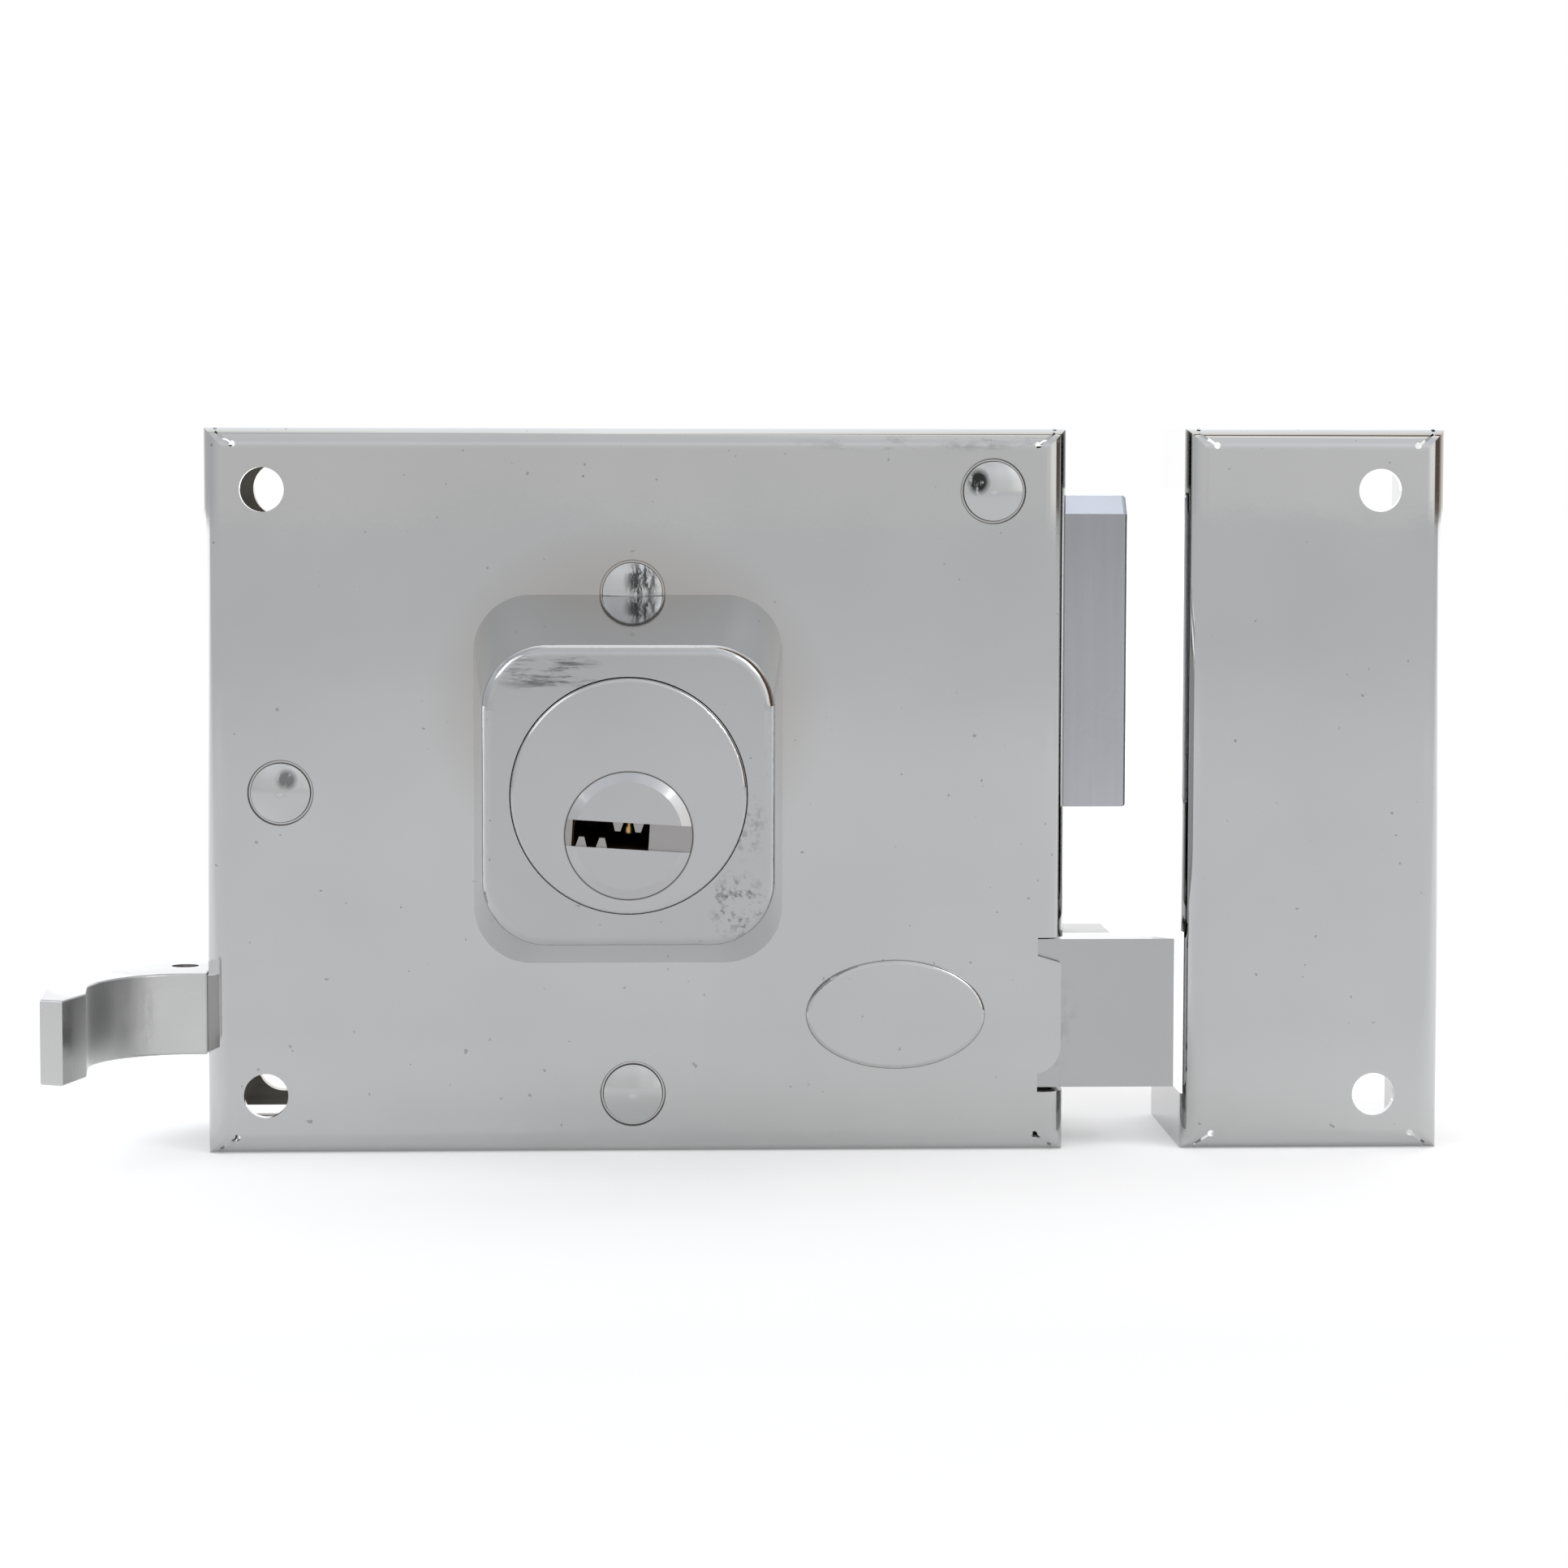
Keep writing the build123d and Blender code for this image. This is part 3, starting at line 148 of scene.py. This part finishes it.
class Shader(Nodes):
    """A procedural material: Principled BSDF with helpers for the nodes in front of it."""

    def __init__(self, name):
        self.mat = bpy.data.materials.new(name)
        self.mat.use_nodes = True
        super().__init__(self.mat.node_tree)
        self.bsdf = self.node("ShaderNodeBsdfPrincipled")
        self.link(self.bsdf.outputs[0], self.node("ShaderNodeOutputMaterial").inputs[0])
        coordinates = self.node("ShaderNodeTexCoord")
        self.where = coordinates.outputs["Object"]
        self.facing = coordinates.outputs["Normal"]

    def noise(self, scale, detail=3.0, rough=0.55, stretch=None):
        """Noise in object coordinates, which stretch multiplies for brushed or streaked looks."""
        tex = self.node("ShaderNodeTexNoise")
        if stretch:
            mapping = self.node("ShaderNodeMapping")
            mapping.inputs["Scale"].default_value = stretch
            self.link(self.where, mapping.inputs["Vector"])
            self.link(mapping.outputs[0], tex.inputs["Vector"])
        else:
            self.link(self.where, tex.inputs["Vector"])
        tex.inputs["Scale"].default_value = scale
        tex.inputs["Detail"].default_value = detail
        tex.inputs["Roughness"].default_value = rough
        return tex.outputs["Fac"]

    def bump(self, height, depth, strength=1.0, below=None):
        """The normal of a relief of that depth, on top of the normal below."""
        made = self.node("ShaderNodeBump")
        made.inputs["Strength"].default_value = strength
        made.inputs["Distance"].default_value = depth
        self.link(height, made.inputs["Height"])
        if below is not None:
            self.link(below, made.inputs["Normal"])
        return made.outputs[0]

    def beyond(self, axis, start, end):
        """0 where that coordinate is before start, rising to 1 at end."""
        made = self.node("ShaderNodeMapRange")
        self.link(self.split(self.where)[axis], made.inputs[0])
        made.inputs[1].default_value = start
        made.inputs[2].default_value = end
        return made.outputs[0]

    def near(self, centre, reach):
        """1 at a centre, fading to 0 at the edge of an ellipsoid of that reach round it."""
        away = self.vector("DIVIDE", self.vector("SUBTRACT", self.where, centre), reach)
        return self.math("SUBTRACT", 1.0, self.length(away), clamp=True)

    def ring(self, centre, inner, outer, soft):
        """1 between two radii round an axis along Y through centre, fading over soft beyond them."""
        away = self.vector("MULTIPLY", self.vector("SUBTRACT", self.where, centre), (1, 0, 1))
        off_middle = self.math(
            "ABSOLUTE", self.math("SUBTRACT", self.length(away), (inner + outer) / 2)
        )
        past = self.math("SUBTRACT", off_middle, (outer - inner) / 2)
        return self.math("SUBTRACT", 1.0, self.math("DIVIDE", past, soft), clamp=True)

    def finish(self, colour, rough, normal=None, metal=1.0):
        self.feed(self.bsdf.inputs["Base Color"], colour)
        self.feed(self.bsdf.inputs["Roughness"], rough)
        self.bsdf.inputs["Metallic"].default_value = metal
        if normal is not None:
            self.link(normal, self.bsdf.inputs["Normal"])
        return self.mat


# Materials

GRIME = (0.06, 0.045, 0.035)
# Colour of a brown film that is partly real brown dirt and partly painted shade.
BROWN_FILM_AND_SHADE = (0.84, 0.78, 0.72)
GRIME_ROUGHNESS = 0.5
# The next three constants serve real stains and also patches of painted reflection, light and shade.
STAIN_AND_LIGHT_ROUGHNESS = 0.42
STAIN_AND_LIGHT_GAIN = 2.2         # how fast a stain grows to its full strength from its edge
STAIN_AND_LIGHT_SOFTNESS = 0.12    # width of the soft edges of its marks, in the noise's value
FILM_AND_SHADE_GAIN = 3.0
PIT_SHARE = 0.66         # colour of a pit, as a share of the metal's colour
PIT_DEPTH = 0.00001
PIT_STRENGTH = 0.5
FINE_RIPPLE = 0.0000016
LINE_DEPTH = 0.000004
LINE_DARK = 0.12         # how much darker and lighter than the metal brushed lines are
LINE_LIGHT = 0.08

# Marks on a plated surface. share is a share of the metal's colour in stains and in patches of
# painted reflection and light, and of full strength in a Groove and in the brown film with painted
# shade; bare is how much of a patch stays bare.
StainAndLight = namedtuple("StainAndLight", "centre reach share stretch scale bare", defaults=(0.5,))
Groove = namedtuple("Groove", "centre inner outer soft share")
FilmAndShade = namedtuple("FilmAndShade", "centre reach share")
ShadedRecess = namedtuple("ShadedRecess", "axis start end colour roughness")


def grey(value):
    return (value, value, value)


def tint(colour, share):
    return tuple(part * share for part in colour)


def plated(name, colour, rough, wave=0.00006, pits=True, stains_and_light=(), grooves=(), film_and_shade=None,
           shaded_recess=None):
    """Bright plating on sheet or casting: faint clouding, fine ripple and small pits. wave is the
    depth of its slow ripple; recess is painted shade: a stretch of darker colour, from a coordinate
    on."""
    s = Shader(name)
    cloud = s.noise(scale=22, detail=4)
    base = s.ramp(cloud, [(0.3, tint(colour, 0.955)), (0.7, tint(colour, 1.035))])
    roughness = s.ramp(s.noise(scale=60), [(0.35, rough * 0.7), (0.75, rough * 1.4)])
    normal = s.bump(s.noise(scale=38, detail=1.5), wave)
    normal = s.bump(s.noise(scale=420, detail=2), FINE_RIPPLE, below=normal)
    if pits:
        specks = s.ramp(s.noise(scale=900, detail=1), [(0.775, 0.0), (0.8, 1.0)])
        base = s.mix(specks, base, tint(colour, PIT_SHARE))
        smooth = s.math("SUBTRACT", 1.0, specks)
        normal = s.bump(smooth, PIT_DEPTH, PIT_STRENGTH, below=normal)
    # Each patch darkens or lightens the metal: some are real stains, others painted reflection,
    # light or shade, as their lists say.
    for stain_and_light in stains_and_light:
        spot = s.math("MULTIPLY", s.near(stain_and_light.centre, stain_and_light.reach), STAIN_AND_LIGHT_GAIN, clamp=True)
        blotches = s.noise(stain_and_light.scale, detail=5, rough=0.7, stretch=stain_and_light.stretch)
        marks = s.ramp(blotches, [(stain_and_light.bare, 0.0), (stain_and_light.bare + STAIN_AND_LIGHT_SOFTNESS, 1.0)])
        amount = s.math("MULTIPLY", marks, spot)
        base = s.mix(amount, base, tint(colour, stain_and_light.share))
        roughness = s.mix(amount, roughness, grey(STAIN_AND_LIGHT_ROUGHNESS))
    for groove in grooves:
        ring = s.ring(groove.centre, groove.inner, groove.outer, groove.soft)
        grime = s.math("MULTIPLY", ring, groove.share)
        base = s.mix(grime, base, GRIME)
        roughness = s.mix(grime, roughness, grey(GRIME_ROUGHNESS))
    # Brown film, partly real dirt and partly painted shade: the face round the boss is browned and
    # darkened in a soft halo.
    if film_and_shade:
        spread = s.math("MULTIPLY", s.near(film_and_shade.centre, film_and_shade.reach), FILM_AND_SHADE_GAIN, clamp=True)
        amount = s.math("MULTIPLY", spread, film_and_shade.share)
        base = s.mix(amount, base, tint(BROWN_FILM_AND_SHADE, colour[0]))
    # Recess: painted shade. Past a coordinate the colour turns darker, standing in for the shade
    # inside a keyway, a gap or the case.
    if shaded_recess:
        depth = s.beyond(shaded_recess.axis, shaded_recess.start, shaded_recess.end)
        base = s.mix(depth, base, shaded_recess.colour)
        roughness = s.mix(depth, roughness, grey(shaded_recess.roughness))
    return s.finish(base, roughness, normal)


def brushed(name, colour, rough, stretch, scale=900, upward_sheen=None, painted_shade_upwards=None, line=1.0):
    """Satin metal with the fine lines that grinding or rolling leaves. top is a painted reflection,
    the colour painted on facets that face upwards; fade is painted shade, (low Z, high Z, share),
    the share of its colour that is left above high Z; line is how strongly the lines show."""
    s = Shader(name)
    lines = s.noise(scale, rough=0.6, stretch=stretch)
    cloud = s.noise(scale=45)
    base = s.ramp(lines, [
        (0.3, tint(colour, 1 - LINE_DARK * line)),
        (0.7, tint(colour, 1 + LINE_LIGHT * line)),
    ])
    base = s.mix(s.ramp(cloud, [(0.35, 0.0), (0.75, 0.35)]), base, tint(colour, 0.8))
    roughness = s.ramp(cloud, [(0.3, rough * 0.8), (0.7, rough * 1.25)])
    # Painted shade: the colour darkens higher up, from low Z to high Z.
    if painted_shade_upwards:
        low, high, share = painted_shade_upwards
        base = s.mix(s.beyond("Z", low, high), base, s.mix(1.0, base, grey(share), "MULTIPLY"))
    # Painted reflection: facets that face upwards take a paler colour, standing in for the bright
    # ceiling they reflect.
    if upward_sheen:
        upward = s.ramp(s.split(s.facing)["Z"], [(0.35, 0.0), (0.55, 1.0)])
        base = s.mix(upward, base, upward_sheen)
    return s.finish(base, roughness, s.bump(lines, LINE_DEPTH))


CHROME = (0.51, 0.513, 0.511)
RIVETS = [
    (0.0508, FACE_Y, 0.0453),
    (0.0006, FACE_Y, 0.0312),
    (0.0006, FACE_Y, -0.039),
    (-0.0483, FACE_Y, 0.00335),
]
face_chrome = plated(
    "sheet_chrome", CHROME, rough=0.055,
    stains_and_light=[
        StainAndLight((0.043, FACE_Y, 0.052), (0.022, 0.004, 0.0015),
              share=0.7, stretch=(0.3, 1, 1), scale=500),
    ],
    grooves=[Groove(rivet, 0.00405, 0.00418, soft=0.0001, share=0.85) for rivet in RIVETS]
    + [Groove(rivet, 0.00446, 0.00455, soft=0.00008, share=0.7) for rivet in RIVETS],
    # Painted shade with real brown dirt: a soft brown halo round the boss's base.
    film_and_shade=FilmAndShade((0, FACE_Y, 0.0155), (0.028, 0.01, 0.026), share=0.6),
)
rivet_chrome = plated(
    "rivet_chrome", CHROME, rough=0.15, wave=0.00016,
    stains_and_light=[
        # Painted reflections: a small dark spot on the upper side of three rivet domes stands in for
        # the reflection of dark things round them; the one on the rivet over the boss is the boss's
        # reflection.
        StainAndLight((0.0487, FACE_Y, 0.0466), (0.0018, 0.003, 0.0021),
              share=0.06, stretch=(1, 1, 0.6), scale=1100, bare=0.34),
        StainAndLight((0.0019, FACE_Y, 0.0328), (0.0027, 0.003, 0.0034),
              share=0.13, stretch=(1.3, 1, 0.5), scale=900, bare=0.4),
        StainAndLight((-0.0474, FACE_Y, 0.0052), (0.0017, 0.003, 0.0017),
              share=0.35, stretch=(1, 1, 0.4), scale=800, bare=0.36),
    ],
)
cast_chrome = plated(
    "cast_chrome", (0.465, 0.47, 0.47), rough=0.06, wave=0.00005,
    stains_and_light=[
        StainAndLight((-0.0105, BOSS_Y, 0.0215), (0.0085, 0.003, 0.0028),
              share=0.35, stretch=(0.35, 1, 2.6), scale=420),
        StainAndLight((0.0145, BOSS_Y, -0.0095), (0.0042, 0.003, 0.0052),
              share=0.4, stretch=(1, 1, 1), scale=700),
        StainAndLight((0.0155, BOSS_Y, 0.001), (0.003, 0.003, 0.005),
              share=0.75, stretch=(1, 1, 1), scale=800),
    ],
)
pull_chrome = plated(
    "pull_chrome", (0.57, 0.57, 0.565), rough=0.27, wave=0.00008,
    stains_and_light=[
        # Darker streaked patch on the cradle near the pull's tip.
        StainAndLight((-0.072, -0.028, -0.029), (0.006, 0.012, 0.008),
              share=0.85, stretch=(1, 1, 0.25), scale=300),
        # Painted light: a lighter patch over the cradle, 1.6 times the metal's colour, stands in for
        # light on it.
        StainAndLight((-0.0735, -0.037, -0.0287), (0.008, 0.016, 0.014),
              share=1.6, stretch=(1, 1, 1), scale=300, bare=0.0),
    ],
    # Painted shade: the part of the pull inside the case, past the flange, is painted darker as the
    # flange's shade.
    shaded_recess=ShadedRecess("X", -0.0599, -0.0595, colour=(0.34, 0.335, 0.33), roughness=0.35),
)
disc_chrome = plated(
    "disc_chrome", (0.49, 0.49, 0.492), rough=0.07, wave=0.00003, pits=False,
    grooves=[Groove((0, 0, 0), 0.0083, 0.00845, soft=0.0002, share=0.9)],
    # Painted shade: the disc's surfaces deeper than its face, in the gap round the plug, are painted
    # near-black brown.
    shaded_recess=ShadedRecess("Y", -0.0633, -0.0628, colour=(0.05, 0.03, 0.016), roughness=0.5),
)
plug_chrome = plated(
    "plug_chrome", (0.475, 0.476, 0.478), rough=0.09, wave=0.00003, pits=False,
    # Painted shade: the keyway inside the plug is painted near-black brown, where little light gets
    # in.
    shaded_recess=ShadedRecess("Y", -0.064, -0.0627, colour=(0.075, 0.045, 0.022), roughness=0.5),
)
latch_metal = plated(
    "latch_satin", (0.44, 0.442, 0.444), rough=0.15, wave=0.00004,
    stains_and_light=[
        StainAndLight((0.053, -0.031, -0.03), (0.011, 0.003, 0.012),
              share=0.82, stretch=(1, 1, 0.6), scale=260),
    ],
)
# The deadbolt: a pale blue painted reflection on its upward facets, and painted shade that darkens
# it higher up.
bolt_metal = brushed(
    "bolt_satin", (0.47, 0.48, 0.505), rough=0.24, stretch=(1, 1, 0.04),
    upward_sheen=(0.77, 0.85, 1.0), painted_shade_upwards=(-0.005, 0.04, 0.74), line=0.35,
)
carrier_metal = brushed("carrier_zinc", (0.37, 0.365, 0.355), rough=0.3, stretch=(0.05, 1, 1))
plate_metal = brushed("plate_zinc", (0.42, 0.39, 0.34), rough=0.32, stretch=(0.04, 1, 1))
post_metal = brushed("post_zinc", (0.5, 0.49, 0.46), rough=0.3, stretch=(1, 0.06, 1))
gear_metal = brushed("gear_steel", (0.36, 0.35, 0.34), rough=0.36, stretch=(1, 0.08, 1))
spring_metal = brushed("spring_steel", (0.3, 0.29, 0.28), rough=0.34, stretch=(0.1, 1, 1))
pin_brown = brushed("pin_brown", (0.27, 0.19, 0.15), rough=0.4, stretch=(1, 1, 0.1))
brass_metal = brushed(
    "brass_turned", (0.62, 0.42, 0.16), rough=0.26, stretch=(1, 1, 0.15), scale=700
)

# Screws, posts, rivets and the other small inner pieces that aren't named here are post_metal.
FINISH = {
    "front_cover": face_chrome,
    "strike_box": face_chrome,
    "cover_pillars": rivet_chrome,
    "drag_spring_rivet": rivet_chrome,
    "cylinder_escutcheon": cast_chrome,
    "cylinder_body": disc_chrome,
    "cylinder_plug": plug_chrome,
    "finger_pull": pull_chrome,
    "pull_pin": pin_brown,
    "deadbolt": bolt_metal,
    "deadbolt_tail": gear_metal,
    "latch_bolt": latch_metal,
    "latch_carrier": carrier_metal,
    "back_plate": plate_metal,
    "plug_pinion": gear_metal,
    "reduction_wheel": gear_metal,
    "rack_pinion": gear_metal,
    "drag_spring": spring_metal,
    "pin_springs": spring_metal,
    "latch_spring": spring_metal,
    "plug_clip": spring_metal,
    "pinion_clip": spring_metal,
    "arbor_clip": spring_metal,
    "driver_pins": brass_metal,
    "key_pins": brass_metal,
    "chamber_plugs": brass_metal,
}

for name, obj in nodes.items():
    paint = FINISH.get(name, post_metal)
    if not obj.material_slots:
        obj.data.materials.append(paint)
    for slot in obj.material_slots:
        slot.link = "OBJECT"
        slot.material = paint


# Latch spring, built as a coil of fixed length; the real one shortens as the latch is drawn back

WIRE = 0.00045    # the wire's radius
TURNS = 11
STEPS = 28        # along one turn
SIDES = 10        # round the wire


def coil_spring(low, high):
    """A closed tube wound as a coil that fills the box along X."""
    winding = (high.z - low.z) / 2 - WIRE
    middle = (low + high) / 2
    mesh = bpy.data.meshes.new("latch_spring_coil")
    points, faces = [], []
    count = TURNS * STEPS
    for step in range(count + 1):
        angle = 2 * math.pi * step / STEPS
        out = Vector((0, math.cos(angle), math.sin(angle)))
        along = low.x + WIRE + (high.x - low.x - 2 * WIRE) * step / count
        centre = Vector((along, middle.y, middle.z)) + out * winding
        for side in range(SIDES):
            turned = 2 * math.pi * side / SIDES
            offset = out * math.cos(turned) + Vector((math.sin(turned), 0, 0))
            points.append(centre + offset * WIRE)
    for step in range(count):
        for side in range(SIDES):
            beside = (side + 1) % SIDES
            a, b = step * SIDES, (step + 1) * SIDES
            faces.append((a + side, b + side, b + beside, a + beside))
    faces.append(tuple(range(SIDES)))
    faces.append(tuple(reversed(range(count * SIDES, (count + 1) * SIDES))))
    mesh.from_pydata(points, [], faces)
    mesh.polygons.foreach_set("use_smooth", [len(face) == 4 for face in faces])
    coil = add_object("latch_spring_coil", mesh)
    coil.data.materials.append(spring_metal)
    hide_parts("latch_spring")
    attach(coil, "case")
    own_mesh(coil)


coil_spring(*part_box("latch_spring"))


# Floor, which reaches to the horizon and turns white towards the back

FLOOR_REACH = 9
PAPER_ROUGHNESS = 0.9
PAPER_GRAIN = 0.985    # colour of its darker grain, as a share
CORNERS = ((-1, -1), (1, -1), (1, 1), (-1, 1))

floor_mesh = bpy.data.meshes.new("floor")
floor_mesh.from_pydata(
    [(x * FLOOR_REACH, y * FLOOR_REACH, cad_low.z) for x, y in CORNERS], [], [(0, 1, 2, 3)]
)
floor = add_object("floor", floor_mesh)

paper = Shader("floor_paper")
grain = paper.noise(scale=30, detail=2)
toward_back = paper.beyond("Y", start=-0.5, end=0.5)
shade = paper.ramp(toward_back, [(0.12, 0.78), (0.34, 0.79), (0.5, 0.9), (1.0, 0.9)])
fleck = paper.mix(1.0, shade, grey(PAPER_GRAIN), "MULTIPLY")
paper.finish(paper.mix(grain, shade, fleck), PAPER_ROUGHNESS, metal=0.0)
paper.bsdf.inputs["Specular IOR Level"].default_value = 0.0
glow = paper.ramp(
    toward_back, [(0.12, 0.055), (0.34, 0.1), (0.5, 0.2), (0.6, 0.2), (1.0, 1.0)]
)
seen_glow = paper.ramp(
    toward_back, [(0.12, 0.12), (0.34, 0.17), (0.5, 0.27), (0.6, 0.27), (1.0, 1.0)]
)
paper.link(
    paper.mix(paper.camera_ray(), glow, seen_glow), paper.bsdf.inputs["Emission Color"]
)
paper.bsdf.inputs["Emission Strength"].default_value = 1.0
floor.data.materials.append(paper.mat)


# Studio walls and ceiling, seen only in reflections; the camera itself sees white

WALLS = [    # degrees round from straight in front of the case's face, and the colour there
    (-180, (1.4, 1.4, 1.4)),
    (-150, (1.1, 1.1, 1.1)),
    (-125, (0.72, 0.73, 0.74)),
    (-75, (0.7, 0.71, 0.73)),
    (-45, (0.82, 0.825, 0.83)),
    (-22, (0.88, 0.88, 0.88)),
    (-2, (0.85, 0.85, 0.845)),
    (5, (0.85, 0.85, 0.85)),
    (13, (0.94, 0.94, 0.94)),
    (26, (0.93, 0.93, 0.93)),
    (42, (1.3, 1.29, 1.27)),
    (62, (1.3, 1.26, 1.2)),
    (67, (0.13, 0.095, 0.075)),
    (97, (0.15, 0.11, 0.085)),
    (103, (0.5, 0.42, 0.35)),
    (125, (1.0, 0.97, 0.93)),
    (180, (1.4, 1.4, 1.4)),
]
CEILING = [    # 0 straight down, 0.5 level, 1 straight up, and the colour that the walls take there
    (0.0, (0.75, 0.75, 0.75)),
    (0.42, (0.98, 0.98, 0.98)),
    (0.5, (1.0, 1.0, 1.0)),
    (0.62, (1.05, 1.06, 1.08)),
    (0.72, (1.2, 1.22, 1.27)),
    (0.86, (1.05, 1.08, 1.14)),
    (1.0, (1.1, 1.1, 1.1)),
]

world = bpy.data.worlds.new("studio")
bpy.context.scene.world = world
world.use_nodes = True
sky = Nodes(world.node_tree)
direction = sky.split(sky.node("ShaderNodeTexCoord").outputs["Generated"])
toward_viewer = sky.math("MULTIPLY", direction["Y"], -1.0)
round_angle = sky.math("ARCTAN2", direction["X"], toward_viewer)
turn = sky.math("ADD", sky.math("DIVIDE", round_angle, 2 * math.pi), 0.5)
walls = sky.ramp(turn, [(degrees / 360 + 0.5, colour) for degrees, colour in WALLS])
lift = sky.math("ADD", sky.math("MULTIPLY", direction["Z"], 0.5), 0.5)
studio = sky.node("ShaderNodeBackground")
sky.link(sky.mix(1.0, walls, sky.ramp(lift, CEILING), "MULTIPLY"), studio.inputs["Color"])
white = sky.node("ShaderNodeBackground")
white.inputs["Color"].default_value = (1, 1, 1, 1)
both = sky.node("ShaderNodeMixShader")
sky.link(sky.camera_ray(), both.inputs[0])
sky.link(studio.outputs[0], both.inputs[1])
sky.link(white.outputs[0], both.inputs[2])
sky.link(both.outputs[0], sky.node("ShaderNodeOutputWorld").inputs[0])


# Lamps

def soft_lamp(name, place, aim, width, height, power):
    data = bpy.data.lights.new(name, "AREA")
    data.shape = "RECTANGLE"
    data.size, data.size_y = width, height
    data.energy = power
    lamp = add_object(name, data)
    lamp.location = place
    lamp.rotation_mode = "QUATERNION"
    lamp.rotation_quaternion = (Vector(aim) - Vector(place)).to_track_quat("-Z", "Y")


soft_lamp(
    "left_lamp", place=(-0.75, -0.6, 0.75), aim=(0, -0.04, 0), width=0.45, height=0.6, power=1.7
)
soft_lamp(
    "right_lamp", place=(0.7, -0.65, 0.75), aim=(0.03, -0.04, 0), width=0.4, height=0.5, power=1.4
)


# Camera, fitted to the photograph's perspective

PHOTO_PIXELS = 1932
FOCAL_PIXELS = 5000
SENSOR = 36    # mm, as Blender counts lens and sensor
CAMERA_PLACE = (-0.000895, -0.59729, 0.04693)
RIGHT = Vector((0.99920222, -0.03990396, 0.00161111))
DOWN = Vector((-0.00138375, -0.07491066, -0.99718929))
FORWARD = Vector((0.03991249, 0.99639152, -0.07490612))

camera_data = bpy.data.cameras.new("photo_camera")
camera_data.sensor_width = SENSOR
camera_data.lens = FOCAL_PIXELS / PHOTO_PIXELS * SENSOR
camera_data.clip_start = 0.05
camera_data.clip_end = 30
camera = add_object("photo_camera", camera_data)
turned_to_view = Matrix((RIGHT, -DOWN, -FORWARD)).transposed().to_4x4()
camera.matrix_world = Matrix.Translation(CAMERA_PLACE) @ turned_to_view
bpy.context.scene.camera = camera
bpy.context.scene.view_settings.view_transform = "Standard"
